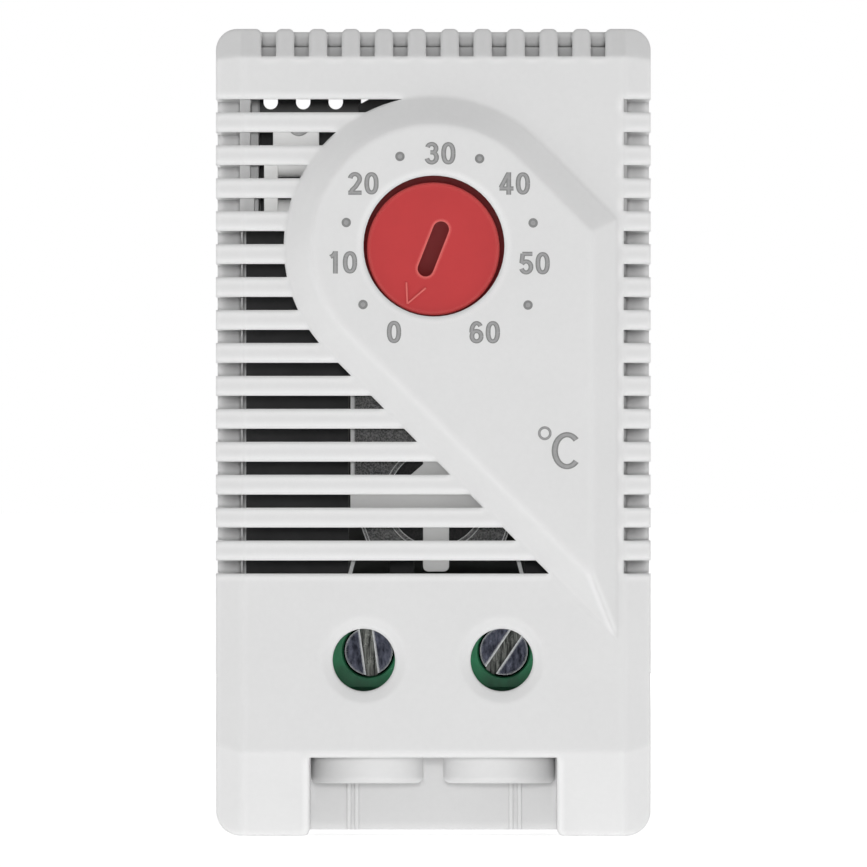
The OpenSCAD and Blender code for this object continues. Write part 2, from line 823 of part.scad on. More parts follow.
module plate_screws() {
    head_y = plate_y - 1.3;
    color("silver")
        for (spot = plate_screw_spots)
            difference() {
                union() {
                    depth_cylinder(spot[0], spot[1], head_y, plate_y, 1.2, 1.6);
                    depth_cylinder(spot[0], spot[1], plate_y - eps, plate_y + 7, 0.8);
                }
                block([spot[0] - 2, head_y - 1, spot[1] - 0.25], [spot[0] + 2, head_y + 0.7, spot[1] + 0.25]);
            }
}

// Hollow rivets that fix the frame and both strips to the plate
module plate_rivets() {
    color("silver")
        for (spot = rivet_spots)
            rivet(spot[0], spot[1], plate_y - sheet_t, plate_y + plate_t, 1.1, 0.4);
}

// Contact arm that hangs behind the pusher by its rolled upper edge
module contact_arm() {
    color("goldenrod")
    difference() {
        union() {
            width_cylinder(arm_y, arm_pivot_z, -1.8, 2.2, arm_eye_r);
            front_extrude(arm_y - arm_t / 2, arm_y + arm_t / 2)
                polygon([
                    [-1.8, arm_pivot_z], [2.2, arm_pivot_z], [2.2, -6.2], [1.4, arm_low_z],
                    [-1.0, arm_low_z], [-1.8, -6.2]
                ]);
        }
        depth_cylinder(nose_x, contact_z, arm_y - 1, arm_y + 1, rivet_r);
    }
}

module moving_contact() {
    back = arm_y + arm_t / 2;
    color("silver") {
        depth_cylinder(nose_x, contact_z, arm_y - arm_t / 2 - 0.2, back, rivet_r);
        depth_cylinder(nose_x, contact_z, arm_y - arm_t / 2 - 0.2, arm_y - arm_t / 2, 0.9);
        depth_cylinder(nose_x, contact_z, back, back + 0.8, contact_r);
    }
}

module fixed_contact() {
    color("silver") {
        depth_cylinder(nose_x, contact_z, -19.8, -19.2, contact_r);
        depth_cylinder(nose_x, contact_z, -19.2, -18.4, rivet_r);
        depth_cylinder(nose_x, contact_z, -18.4, -18.1, 0.9);
    }
}

// Conductor from a terminal to the plate: a tongue in the clamp and a bend out of the block
module terminal_tongue(x) {
    block([x - 1.6, tongue_y, -19], [x + 1.6, tongue_y + sheet_t, -13.1]);
    block([x - 1.6, tongue_y, -13.9], [x + 1.6, plate_y, -13.1]);
}

module output_strip() {
    x = terminal_x[1];
    color("goldenrod")
    difference() {
        union() {
            terminal_tongue(x);
            block([x - 1.6, plate_y - sheet_t, -13.9], [x + 1.6, plate_y, -10]);
            block([x - 1.6, -19.2, -10.8], [x + 1.6, plate_y, -10]);
            block([-1.5, -19.2, -10.8], [x + 1.6, -18.4, -6]);
        }
        depth_cylinder(nose_x, contact_z, -20, -18, rivet_r);
        depth_cylinder(x, -12, plate_y - 1, plate_y + 1, rivet_r);
    }
}

module feed_strip() {
    x = terminal_x[0];
    color("goldenrod")
    difference() {
        union() {
            terminal_tongue(x);
            block([x - 1.6, plate_y - sheet_t, -13.9], [x + 1.6, plate_y, 8.5]);
            block([x - 1.6, arm_y - sheet_t / 2, 7.7], [2.4, plate_y, 8.5]);
            block([-2, arm_y - sheet_t / 2, arm_pivot_z + 0.6], [2.4, arm_y + sheet_t / 2, 8.5]);
            width_cylinder(arm_y, arm_pivot_z, -2, 2.4, arm_eye_r + 0.5);
        }
        depth_cylinder(x, -2, plate_y - 1, plate_y + 1, rivet_r);
        width_cylinder(arm_y, arm_pivot_z, -3, 3, arm_eye_r + running);
        block([-3, arm_y - 0.27, arm_pivot_z - 1.5], [3, arm_y + 0.27, arm_pivot_z]);
    }
}

// Green block with a chamber for each clamp cage and a bore for each screw head
module terminal_block() {
    color("seagreen")
    difference() {
        block([block_x[0], block_y[0], block_z[0]], [block_x[1], block_y[1], block_z[1]]);
        for (x = terminal_x) {
            block([x - chamber_half, block_y[0] + 3, block_z[0] - 1],
                  [x + chamber_half, block_y[1] - 1.6, -13]);
            depth_cylinder(x, terminal_z, block_y[0] - 1, block_y[0] + 2.65, screw_head_r + 0.1);
            depth_cylinder(x, terminal_z, block_y[0], block_y[0] + 4, screw_shank_r + running);
            block([x - 1.65, block_y[1] - 2, -13.95], [x + 1.65, block_y[1] + 1, -13.05]);
        }
        block([terminal_mid - 0.4, block_y[0] - 1, block_z[0] - 1],
              [terminal_mid + 0.4, block_y[0] + 0.8, block_z[1] + 1]);
        block([block_x[0] - 1, block_y[0] - 1, block_z[0] - 1],
              [block_x[1] + 1, block_y[0] + 1.4, driver_hole_z - 2.1]);
    }
}

module terminal_screw(x, slot_turn) {
    color("#5a5a5e")
    difference() {
        union() {
            depth_cylinder(x, terminal_z, screw_face_y, screw_face_y + 0.12,
                           screw_head_r - 0.12, screw_head_r);
            depth_cylinder(x, terminal_z, screw_face_y + 0.12, screw_face_y + 1.9, screw_head_r);
            depth_cylinder(x, terminal_z, screw_face_y + 1.8, tongue_y - 0.1, screw_shank_r);
        }
        translate([x, screw_face_y, terminal_z])
            rotate([0, slot_turn, 0])
                block([-0.45, -1, -3], [0.45, 1, 3]);
    }
}

// Square clamp cage that the screw draws forward to grip the wire against the tongue
module clamp_cage(x) {
    front = tongue_y - 2.5;
    color("silver")
    difference() {
        block([x - cage_half, front, cage_z[0]], [x + cage_half, front + 7.9, cage_z[1]]);
        block([x - cage_half + 0.6, front + 1.4, cage_z[0] - 1],
              [x + cage_half - 0.6, front + 7.1, cage_z[1] + 1]);
        depth_cylinder(x, terminal_z, front - 1, front + 2, screw_shank_r + running);
    }
}

// Floor of the terminal space with the two round collars that the wires pass through
module wire_guide() {
    edge_r = 0.5;
    floor_z = notch_z + 0.06;
    color("lightgray")
    difference() {
        union() {
            block([-notch_half + 0.1, cover_in_y + 0.1, floor_z], [notch_half - 0.1, part_y - 0.1, -22.5]);
            block([-notch_half - 1.4, cover_in_y + 0.1, notch_z + leg_wall + 0.02],
                  [notch_half + 1.4, part_y - 0.2, block_z[0] - 0.02]);
            for (side = [-1, 1])
                translate([side * collar_x, wire_y, collar_low_z])
                    rotate_extrude() {
                        square([collar_d / 2 - edge_r, 3]);
                        translate([0, edge_r])
                            square([collar_d / 2, 2.5]);
                        translate([collar_d / 2 - edge_r, edge_r])
                            circle(r = edge_r);
                    }
        }
        for (side = [-1, 1])
            translate([side * collar_x, wire_y, collar_low_z]) {
                translate([0, 0, -1])
                    cylinder(h = 8, d = wire_bore_d);
                translate([0, 0, -eps])
                    cylinder(h = 0.8, d1 = wire_bore_d + 1.6, d2 = wire_bore_d);
            }
    }
}

front_cover();
rear_housing();
rail_latch();
latch_spring();
dial();
dial_retainer();
adjuster_plunger();
switch_frame();
pivot_pin();
pivot_spring();
rocker();
bimetal_strip();
bimetal_rivets();
contact_pusher();
mounting_plate();
plate_screws();
plate_rivets();
contact_arm();
moving_contact();
fixed_contact();
output_strip();
feed_strip();
terminal_block();
terminal_screw(terminal_x[0], -8);  // terminal_screw_left
terminal_screw(terminal_x[1], 34);  // terminal_screw_right
clamp_cage(terminal_x[0]);  // clamp_cage_left
clamp_cage(terminal_x[1]);  // clamp_cage_right
wire_guide();
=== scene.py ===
import math

import bpy
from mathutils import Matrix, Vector
from mathutils.geometry import delaunay_2d_cdt


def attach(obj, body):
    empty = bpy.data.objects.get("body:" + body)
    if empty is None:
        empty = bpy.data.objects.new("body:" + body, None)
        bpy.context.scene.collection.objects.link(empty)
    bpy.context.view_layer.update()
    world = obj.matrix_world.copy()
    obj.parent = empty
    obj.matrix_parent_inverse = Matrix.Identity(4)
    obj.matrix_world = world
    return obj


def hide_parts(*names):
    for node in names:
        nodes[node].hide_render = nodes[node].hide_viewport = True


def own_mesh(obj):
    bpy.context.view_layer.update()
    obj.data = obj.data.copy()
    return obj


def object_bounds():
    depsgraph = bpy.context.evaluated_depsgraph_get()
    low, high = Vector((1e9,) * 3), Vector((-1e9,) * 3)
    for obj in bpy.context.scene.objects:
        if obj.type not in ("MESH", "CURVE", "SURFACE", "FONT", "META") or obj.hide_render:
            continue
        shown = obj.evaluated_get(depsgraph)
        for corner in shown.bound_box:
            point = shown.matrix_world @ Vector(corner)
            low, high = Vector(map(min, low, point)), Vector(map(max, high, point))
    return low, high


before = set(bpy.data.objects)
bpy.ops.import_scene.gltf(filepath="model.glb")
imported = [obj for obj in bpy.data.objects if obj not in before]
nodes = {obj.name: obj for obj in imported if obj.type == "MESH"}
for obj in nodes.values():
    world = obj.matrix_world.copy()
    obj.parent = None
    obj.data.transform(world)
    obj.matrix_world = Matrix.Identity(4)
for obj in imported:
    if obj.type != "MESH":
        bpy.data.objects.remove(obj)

cad_low, cad_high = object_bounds()
scene = bpy.context.scene

# Places on the object are written in millimetres, and MM turns them into metres
MM = 0.001
MICRON = 0.001 * MM

# Scale of the photograph on the front of the housing, and the pixel at the middle of the housing
PX_PER_MM = 13.18
PHOTO_PX = 867
CENTRE_PX = (433.3, 432.6)

# Places on the solids that the finishes and the print follow
FRONT_Y = -37.5
PLATFORM_Y = -39.5
DIAL_Y = -39.1
BACK_WALL_Y = 1.6
BACK_WALL_HALF_WIDTH = 14.4
RING_CENTRE = (0.2, -5.0)
RING_INNER_R = 3.6
TURNED_EDGE_X = 6.0
SCREW_FACE_Y = -33.885
SCREW_CHAMFER_Y = -33.7
SCREW_GROOVE_Y = -33.3
SCREW_SHANK_Y = -31.9
THREAD_PITCH = 0.5
TERMINAL_LOW_Z = -17.6


# Materials, with the depth of their fine texture and the radius that edges have on plastic and on metal

SKIN_GRAIN = 3 * MICRON
SKIN_EDGE = 0.14 * MM
METAL_EDGE = 0.1 * MM


def linear(rgb):
    """A colour written as 0 to 255 turned into Blender's linear light."""
    shares = [c / 255 for c in rgb]
    return tuple(s / 12.92 if s <= 0.04045 else ((s + 0.055) / 1.055) ** 2.4 for s in shares) + (1.0,)


def darker(color, share):
    """That colour with a share of its light taken away."""
    return tuple(c * (1 - share) for c in color[:3]) + (1.0,)


class Graph:
    """Adds and links shader nodes in the tree of a new material."""

    def __init__(self, name):
        self.start(bpy.data.materials.new(name), "ShaderNodeOutputMaterial", "Object")

    def start(self, owner, output, coordinates):
        """An empty tree for that material or world, with its output and the coordinates that it works in."""
        self.owner = owner
        owner.use_nodes = True
        self.tree = owner.node_tree
        self.tree.nodes.clear()
        self.output = self.tree.nodes.new(output)
        self.place = self.tree.nodes.new("ShaderNodeTexCoord").outputs[coordinates]

    def link(self, a, b):
        self.tree.links.new(a, b)

    def fill(self, socket, value):
        if isinstance(value, bpy.types.NodeSocket):
            self.link(value, socket)
        elif value is not None:
            socket.default_value = value

    def add(self, kind, **values):
        node = self.tree.nodes.new(kind)
        for key, value in values.items():
            if key in node.inputs:
                self.fill(node.inputs[key], value)
            else:
                setattr(node, key, value)
        return node

    def math(self, operation, a, b=None, c=None):
        node = self.add("ShaderNodeMath", operation=operation)
        for socket, value in zip(node.inputs, (a, b, c)):
            self.fill(socket, value)
        return node.outputs[0]

    def weighted(self, a, share_a, b, share_b):
        return self.math("ADD", self.math("MULTIPLY", a, share_a), self.math("MULTIPLY", b, share_b))

    def vectors(self, operation, a, b):
        """The number that two vectors give, such as their distance."""
        node = self.add("ShaderNodeVectorMath", operation=operation)
        self.fill(node.inputs[0], a)
        self.fill(node.inputs[1], b)
        return node.outputs["Value"]

    def noise(self, scale, detail, rough, stretch=None):
        vector = self.place
        if stretch:
            vector = self.add("ShaderNodeMapping", Vector=vector, Scale=stretch).outputs[0]
        node = self.add("ShaderNodeTexNoise", Vector=vector, Scale=scale, Detail=detail, Roughness=rough)
        return node.outputs["Fac"]

    def span(self, value, low, high, from_low=0.3, from_high=0.7):
        """The value's run from from_low to from_high mapped to low and high."""
        node = self.add("ShaderNodeMapRange", clamp=True)
        for name, v in (("Value", value), ("From Min", from_low), ("From Max", from_high),
                        ("To Min", low), ("To Max", high)):
            self.fill(node.inputs[name], v)
        return node.outputs["Result"]

    def patches(self, noise):
        """A noise with its middle range stretched to 0 and 1."""
        return self.span(noise, 0.0, 1.0, 0.35, 0.65)

    def blend(self, factor, a, b):
        node = self.add("ShaderNodeMix", data_type="RGBA", clamp_factor=True)
        for socket, value in ((node.inputs[0], factor), (node.inputs[6], a), (node.inputs[7], b)):
            self.fill(socket, value)
        return node.outputs[2]

    def axis(self, name):
        """One of the coordinates, X, Y or Z, in metres."""
        return self.add("ShaderNodeSeparateXYZ", Vector=self.place).outputs[name]

    def along(self, axis, low, high, start, end):
        """The coordinate's run from start to end, in millimetres, mapped to low and high."""
        return self.span(self.axis(axis), low, high, start * MM, end * MM)

    def aside(self, low, high, start, end):
        """The same for the distance from the object's middle plane."""
        return self.span(self.math("ABSOLUTE", self.axis("X")), low, high, start * MM, end * MM)

    def rounded(self, radius, samples):
        """The normal as it would be if the edges had that radius."""
        return self.add("ShaderNodeBevel", samples=samples, Radius=radius).outputs[0]

    def edge_mask(self, radius):
        """1 on an edge and 0 on a flat: how far a rounded normal leans from the face's own."""
        normal = self.add("ShaderNodeNewGeometry").outputs["Normal"]
        along = self.vectors("DOT_PRODUCT", self.rounded(radius, 4), normal)
        return self.span(self.math("SUBTRACT", 1.0, along), 0.0, 1.0, 0.03, 0.2)

    def outer_edge(self, reach, share):
        """1 along an outer edge and 0 on a flat: how soon a line into the solid comes out of it again."""
        inside = self.add("ShaderNodeAmbientOcclusion", samples=3, inside=True, only_local=True,
                          Distance=reach)
        return self.span(inside.outputs["AO"], 1.0, 0.0, 1.0 - share, 1.0)

    def facing_down(self, radius):
        """1 where an edge rounded to that radius faces level or down and little where it faces up."""
        up = self.add("ShaderNodeSeparateXYZ", Vector=self.rounded(radius, 4)).outputs["Z"]
        return self.span(up, 1.0, 0.25, 0.0, 0.3)

    def surface(self, height, depth, edge, **values):
        """A principled surface with a bump of that height and depth over edges of that radius."""
        shader = self.add("ShaderNodeBsdfPrincipled", **values)
        bump = self.add("ShaderNodeBump", Strength=1.0, Distance=depth, Height=height,
                        Normal=self.rounded(edge, 6))
        self.link(bump.outputs[0], shader.inputs["Normal"])
        self.link(shader.outputs[0], self.output.inputs["Surface"])
        return self.owner


class SkyGraph(Graph):
    """Adds and links shader nodes in the tree of the scene's new world."""

    def __init__(self, name):
        scene.world = bpy.data.worlds.new(name)
        self.start(scene.world, "ShaderNodeOutputWorld", "Generated")


def paint_back_wall_shade(g, color, base):
    """Painted shade: the inner face of the back wall made dark, as deep in shade behind the slots as it is in
    the photo.
    """
    start = g.along("Y", 0.0, 1.0, BACK_WALL_Y - 0.2, BACK_WALL_Y - 0.1)
    end = g.along("Y", 1.0, 0.0, BACK_WALL_Y + 0.1, BACK_WALL_Y + 0.2)
    inner = g.aside(0.85, 0.0, BACK_WALL_HALF_WIDTH - 0.3, BACK_WALL_HALF_WIDTH)
    return g.blend(g.math("MULTIPLY", g.math("MULTIPLY", start, end), inner), color, darker(base, 0.85))


def moulded(name, rgb, rough=0.42, edge=SKIN_EDGE, raised_edge=None, painted_edge_highlight=None, back_wall_shade=False):
    """Moulded plastic: an even colour with a faint flow mottle and a fine eroded texture. Its edges on the
    raised platform can have a radius of their own, its outer edges facing level or down a painted highlight,
    and its back wall painted shade."""
    g = Graph(name)
    base = linear(rgb)
    mottle = g.weighted(g.noise(160, 4, 0.6), 0.6, g.noise(2600, 2, 0.5), 0.4)
    color = g.blend(g.patches(mottle), darker(base, 0.03), base)
    if painted_edge_highlight:
        # Painted highlight: outer edges lightened, most where they face level or down towards the light from
        # below
        wear_and_highlight = g.math("MULTIPLY", g.outer_edge(0.7 * MM, 0.15), g.facing_down(edge))
        color = g.blend(wear_and_highlight, color, linear(painted_edge_highlight))
    # Painted shade on the back wall's inner face, deep behind the slots
    if back_wall_shade:
        color = paint_back_wall_shade(g, color, base)
    soft = g.noise(700, 2, 0.5)
    height = g.weighted(g.noise(5200, 2, 0.5), 0.7, soft, 0.6)
    if raised_edge:
        edge = g.along("Y", raised_edge, edge, FRONT_Y - 0.7, FRONT_Y - 0.3)
    return g.surface(height, SKIN_GRAIN, edge, **{
        "Base Color": color, "Roughness": g.span(soft, rough - 0.05, rough + 0.06),
    })


def metal(name, rgb, rough=0.3, stretch=None, wear_and_highlight=None):
    """Metal with a rolled or tumbled surface, a little stained, and lighter where its edges are rubbed."""
    g = Graph(name)
    base = linear(rgb)
    lines = g.noise(900, 3, 0.6, stretch)
    color = g.blend(g.patches(g.noise(420, 4, 0.6)), darker(base, 0.15), base)
    if wear_and_highlight:
        color = g.blend(g.edge_mask(METAL_EDGE), color, linear(wear_and_highlight))
    return g.surface(lines, SKIN_GRAIN, METAL_EDGE, **{
        "Base Color": color, "Metallic": 1.0, "Roughness": g.span(lines, rough - 0.08, rough + 0.1),
    })


def dial_plastic():
    """Red plastic, with painted shade in its recesses and painted highlights on the edges of the raised
    pointer and the slot.
    """
    g = Graph("dial_red_plastic")
    base = linear((189, 52, 54))
    flow = g.noise(300, 4, 0.6)
    color = g.blend(g.patches(flow), darker(base, 0.05), base)
    # Painted shade: darker the deeper the surface lies behind the face
    color = g.blend(g.along("Y", 0.0, 1.0, DIAL_Y + 0.4, DIAL_Y + 3.0), color, darker(base, 0.85))
    # Painted highlights: paler tops of the pointer ridges and paler outer edges
    ridge = g.along("Y", 0.6, 0.0, DIAL_Y - 0.1, DIAL_Y - 0.03)
    dial_edge_highlight = g.math("MAXIMUM", g.math("MULTIPLY", g.outer_edge(0.26 * MM, 0.3), 0.75), ridge)
    color = g.blend(dial_edge_highlight, color, linear((228, 116, 110)))
    return g.surface(g.noise(5200, 2, 0.5), SKIN_GRAIN, METAL_EDGE, **{
        "Base Color": color, "Roughness": g.span(flow, 0.36, 0.46),
    })


def bimetal():
    """Rolled bimetal: dull grey, pitted, darker inside its stamped ring, with bright sheared edges painted
    near white as highlights.
    """
    g = Graph("bimetal_strip_metal")
    pits = g.noise(7000, 3, 0.75)
    color = g.blend(g.patches(g.noise(260, 5, 0.65)), linear((84, 84, 86)), linear((108, 107, 106)))
    color = g.blend(g.span(pits, 0.0, 0.6, 0.4, 0.65), color, linear((206, 206, 206)))
    ring_x, ring_z = RING_CENTRE
    flat = g.add("ShaderNodeCombineXYZ", X=g.axis("X"), Z=g.axis("Z")).outputs[0]
    from_ring = g.vectors("DISTANCE", flat, (ring_x * MM, 0.0, ring_z * MM))
    inside = g.span(from_ring, 0.85, 0.0, RING_INNER_R * MM, (RING_INNER_R + 0.1) * MM)
    color = g.blend(inside, color, linear((40, 40, 41)))
    # Painted highlight: the sheared outer edges and the turned edge made near white and less metallic
    turned_edge = g.aside(0.0, 1.0, TURNED_EDGE_X - 0.1, TURNED_EDGE_X + 0.1)
    bright = g.math("MAXIMUM", g.outer_edge(0.12 * MM, 0.3), turned_edge)
    color = g.blend(bright, color, linear((248, 248, 248)))
    return g.surface(pits, 12 * MICRON, METAL_EDGE, **{
        "Base Color": color, "Metallic": g.span(bright, 0.3, 0.0), "Roughness": g.span(pits, 0.38, 0.6),
    })


def laminate():
    """Black laminate: a paper-based board with a faint weave and a satin face."""
    g = Graph("black_laminate_board")
    weave = g.add("ShaderNodeTexWave", Vector=g.place, Scale=900.0, Distortion=2.0, Detail=2.0).outputs["Fac"]
    flow = g.noise(300, 4, 0.6)
    color = g.blend(g.span(flow, 0.0, 1.0), linear((62, 62, 63)), linear((74, 74, 75)))
    return g.surface(weave, SKIN_GRAIN, METAL_EDGE, **{
        "Base Color": color, "Roughness": g.span(flow, 0.45, 0.6),
    })


def screw_steel():
    """Dark passivated screw: a turned head with a bright burr on its edges painted as a highlight, its
    chamfer painted near black as shade, and a thread on its shank.
    """
    g = Graph("passivated_screw_steel")
    turned = g.noise(1500, 3, 0.6)
    depth = g.axis("Y")
    stain = g.patches(g.noise(1400, 4, 0.65, (2.5, 1, 1)))
    color = g.blend(stain, linear((40, 42, 53)), linear((104, 107, 122)))
    streak = g.patches(g.noise(2600, 3, 0.6, (3, 1, 0.3)))
    groove = g.blend(streak, linear((38, 41, 40)), linear((150, 152, 147)))
    color = g.blend(g.math("GREATER_THAN", depth, SCREW_GROOVE_Y * MM), color, groove)
    # Burr and painted highlight: near white, barely metallic rims along the outer edges of the head's face
    on_face = g.math("LESS_THAN", depth, SCREW_FACE_Y * MM)
    burr_and_highlight = g.math("MULTIPLY", g.outer_edge(0.22 * MM, 0.2), on_face)
    color = g.blend(burr_and_highlight, color, linear((244, 245, 246)))
    # Painted shade: the head's chamfer made near black
    chamfer_shade = g.math("MULTIPLY", g.math("GREATER_THAN", depth, SCREW_FACE_Y * MM),
                        g.math("LESS_THAN", depth, SCREW_CHAMFER_Y * MM))
    color = g.blend(chamfer_shade, color, linear((16, 17, 18)))
    thread = g.math("PINGPONG", depth, THREAD_PITCH / 2 * MM)
    on_shank = g.math("GREATER_THAN", depth, SCREW_SHANK_Y * MM)
    height = g.weighted(turned, 10 * MICRON, thread, on_shank)
    return g.surface(height, 1.0, 0.09 * MM, **{
        "Base Color": color, "Metallic": g.span(burr_and_highlight, 0.9, 0.1, 0.0, 1.0),
        "Roughness": g.span(turned, 0.22, 0.42),
    })


def terminal_green():
    """Glossy green plastic with swirls, and painted shade darkening it towards its lower edge."""
    g = Graph("terminal_green_plastic")
    swirl = g.noise(420, 4, 0.65, (1, 1, 0.5))
    color = g.blend(g.patches(swirl), linear((24, 90, 58)), linear((44, 130, 88)))
    # Painted shade: darker towards the lower edge
    low = g.along("Z", 1.0, 0.0, TERMINAL_LOW_Z - 2.0, TERMINAL_LOW_Z)
    color = g.blend(g.math("MULTIPLY", low, 0.75), color, linear((22, 48, 36)))
    return g.surface(g.noise(5200, 2, 0.5), SKIN_GRAIN, SKIN_EDGE, **{
        "Base Color": color, "Roughness": g.span(swirl, 0.26, 0.38),
    })


def printed_ink(name, low, high):
    """Grey pad-printed ink with a faint mottle from its first to its second grey."""
    g = Graph(name)
    cover = g.noise(3800, 3, 0.6)
    color = g.blend(g.span(cover, 0.0, 1.0), linear((low, low, low)), linear((high, high, high)))
    return g.surface(cover, 1 * MICRON, 10 * MICRON, **{
        "Base Color": color, "Roughness": g.span(cover, 0.5, 0.62),
    })


FINISH = {
    "cover": moulded("cover_grey_plastic", (221, 221, 221), rough=0.36, edge=0.6 * MM, raised_edge=0.9 * MM,
                     painted_edge_highlight=(236, 236, 236)),
    "rear": moulded("rear_grey_plastic", (230, 230, 230), painted_edge_highlight=(240, 240, 240), back_wall_shade=True),
    "latch": moulded("latch_grey_plastic", (208, 209, 210), rough=0.38),
    "guide": moulded("guide_grey_plastic", (229, 229, 229), rough=0.4),
    "nylon": moulded("white_nylon", (252, 252, 251), rough=0.36),
    "pusher": moulded("pusher_white_plastic", (226, 226, 225), rough=0.4),
    "green": terminal_green(),
    "red": dial_plastic(),
    "plated": metal("zinc_plated_steel", (150, 151, 152), rough=0.34),
    "spring": metal("drawn_spring_wire", (160, 161, 163), rough=0.28),
    "cage": metal("nickel_plated_cage", (165, 165, 162)),
    "brass": metal("rolled_brass", (186, 158, 98), rough=0.32, stretch=(1, 1, 8)),
    "tinned": metal("tinned_brass", (104, 104, 103), rough=0.42, stretch=(1, 1, 6), wear_and_highlight=(150, 150, 148)),
    "silver": metal("silver_contact", (214, 212, 206), rough=0.24),
    "screw": screw_steel(),
    "bimetal": bimetal(),
    "board": laminate(),
    "ink_rim": printed_ink("ink_rim", 124, 136),
    "ink_middle": printed_ink("ink_middle", 148, 160),
}

WEARS = {
    "front_cover": "cover", "rear_housing": "rear", "rail_latch": "latch", "latch_spring": "spring",
    "dial": "red", "dial_retainer": "nylon", "adjuster_plunger": "nylon",
    "switch_frame": "plated", "pivot_pin": "plated", "pivot_spring": "spring", "rocker": "plated",
    "bimetal_strip": "bimetal", "bimetal_rivets": "plated", "contact_pusher": "pusher",
    "mounting_plate": "board", "plate_screws": "plated", "plate_rivets": "tinned",
    "contact_arm": "brass", "moving_contact": "silver", "fixed_contact": "silver",
    "output_strip": "tinned", "feed_strip": "tinned",
    "terminal_block": "green", "terminal_screw_left": "screw", "terminal_screw_right": "screw",
    "clamp_cage_left": "cage", "clamp_cage_right": "cage", "wire_guide": "guide",
}


def dress_nodes():
    """Gives each solid its finish."""
    for name, finish in WEARS.items():
        mesh = nodes[name].data
        mesh.materials.clear()
        mesh.materials.append(FINISH[finish])


def latch_spring():
    """The latch's spring copied into a piece of its own on the housing, with the rigid solid hidden."""
    solid = nodes["latch_spring"]
    piece = bpy.data.objects.new("latch_spring_coils", solid.data.copy())
    scene.collection.objects.link(piece)
    piece.matrix_world = solid.matrix_world.copy()
    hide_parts("latch_spring")
    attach(piece, "housing")
    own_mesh(piece)


# Printed scale. A character is a few strokes of an oval pen, in millimetres from its middle, fused into
# one thin layer of ink on the platform. The ink is thinner and paler inside a stroke than along its rim,
# so each mark is a dark layer as wide as the pen and a narrower pale one on top of it.

PEN = (0.37, 0.32)
INK_BACK = PLATFORM_Y + 0.004
RIM_FRONT = PLATFORM_Y - 0.01
MIDDLE_FRONT = PLATFORM_Y - 0.014
MIDDLE_SHARE = 0.5
LAYERS = [("", "ink_rim", 1.0, RIM_FRONT), ("_middle", "ink_middle", MIDDLE_SHARE, MIDDLE_FRONT)]
DIGIT_PITCH = 1.245
FUSE_GAP = 1e-5


def arc(cx, cz, rx, rz, start, end, steps=16):
    """Points along an oval from one angle to another, in degrees."""
    angles = [math.radians(start + (end - start) * i / steps) for i in range(steps + 1)]
    return [(cx + rx * math.cos(a), cz + rz * math.sin(a)) for a in angles]


def oval(cx, cz, rx, rz, power=1.0, steps=32):
    """A closed oval, with straighter sides where power is below 1."""
    points = []
    for i in range(steps + 1):
        c = math.cos(2 * math.pi * i / steps)
        s = math.sin(2 * math.pi * i / steps)
        x = cx + rx * math.copysign(abs(c) ** power, c)
        z = cz + rz * math.copysign(abs(s) ** power, s)
        points.append((x, z))
    return points


STROKES = {
    "0": [oval(0, 0, 0.36, 0.69, 0.86)],
    "1": [[(0.14, 0.85), (0.14, -0.85)], [(-0.24, 0.41), (-0.03, 0.52), (0.12, 0.75)]],
    "2": [arc(-0.01, 0.33, 0.36, 0.37, 172, -38) + [(0.05, -0.24), (-0.22, -0.5), (-0.34, -0.71)],
          [(-0.52, -0.71), (0.5, -0.71)]],
    "3": [arc(-0.02, 0.37, 0.33, 0.33, 165, -60) + [(0.03, 0.07), (-0.12, 0.07)],
          [(-0.12, 0.07), (0.03, 0.06)] + arc(-0.02, -0.31, 0.37, 0.39, 62, -168)],
    "4": [[(0.17, 0.85), (0.17, -0.85)], [(0.12, 0.71), (-0.42, -0.32)], [(-0.53, -0.38), (0.54, -0.38)]],
    "5": [[(0.47, 0.71), (-0.3, 0.71)], [(-0.26, 0.73), (-0.34, 0.02)],
          arc(-0.01, -0.28, 0.37, 0.42, 150, -162)],
    "6": [oval(0.01, -0.3, 0.35, 0.39, 0.94), arc(0.02, 0.09, 0.37, 0.6, 38, 190)],
}

# Each number's middle on the front, and the dots halfway between them
NUMBERS = [
    ("0", -2.98, 7.63), ("10", -6.94, 12.91), ("20", -5.31, 18.9), ("30", 0.52, 21.18),
    ("40", 6.17, 18.89), ("50", 7.67, 12.84), ("60", 3.89, 7.61),
]
DOTS = [(-5.33, 9.71), (-6.6, 15.93), (-2.53, 20.94), (3.51, 20.77), (7.57, 15.9), (7.18, 9.67)]
DOT_R = 0.36
DEGREE_PLACE = (8.45, -0.05)
DEGREE_SIZE = (0.42, 0.43)
DEGREE_PEN = 0.19
LETTER_PLACE = (10.14, -1.37)
LETTER_SIZE = (0.93, 1.21)
LETTER_PEN = (0.48, 0.4)


def stroke_quads(points, width, height, x, z):
    """The four-sided steps of a pen stroke whose pen is that wide and high, moved to x and z."""
    closed = points[0] == points[-1]
    line = points[:-1] if closed else points
    count = len(line)
    rails = []
    for i, (px, pz) in enumerate(line):
        before = line[i - 1] if closed or i > 0 else line[i]
        after = line[(i + 1) % count] if closed or i < count - 1 else line[i]
        dx, dz = after[0] - before[0], after[1] - before[1]
        length = math.hypot(dx, dz)
        ox, oz = -dz / length * width / 2, dx / length * height / 2
        rails.append(((x + px + ox, z + pz + oz), (x + px - ox, z + pz - oz)))
    steps = range(count) if closed else range(count - 1)
    return [(rails[i][0], rails[i][1], rails[(i + 1) % count][1], rails[(i + 1) % count][0]) for i in steps]


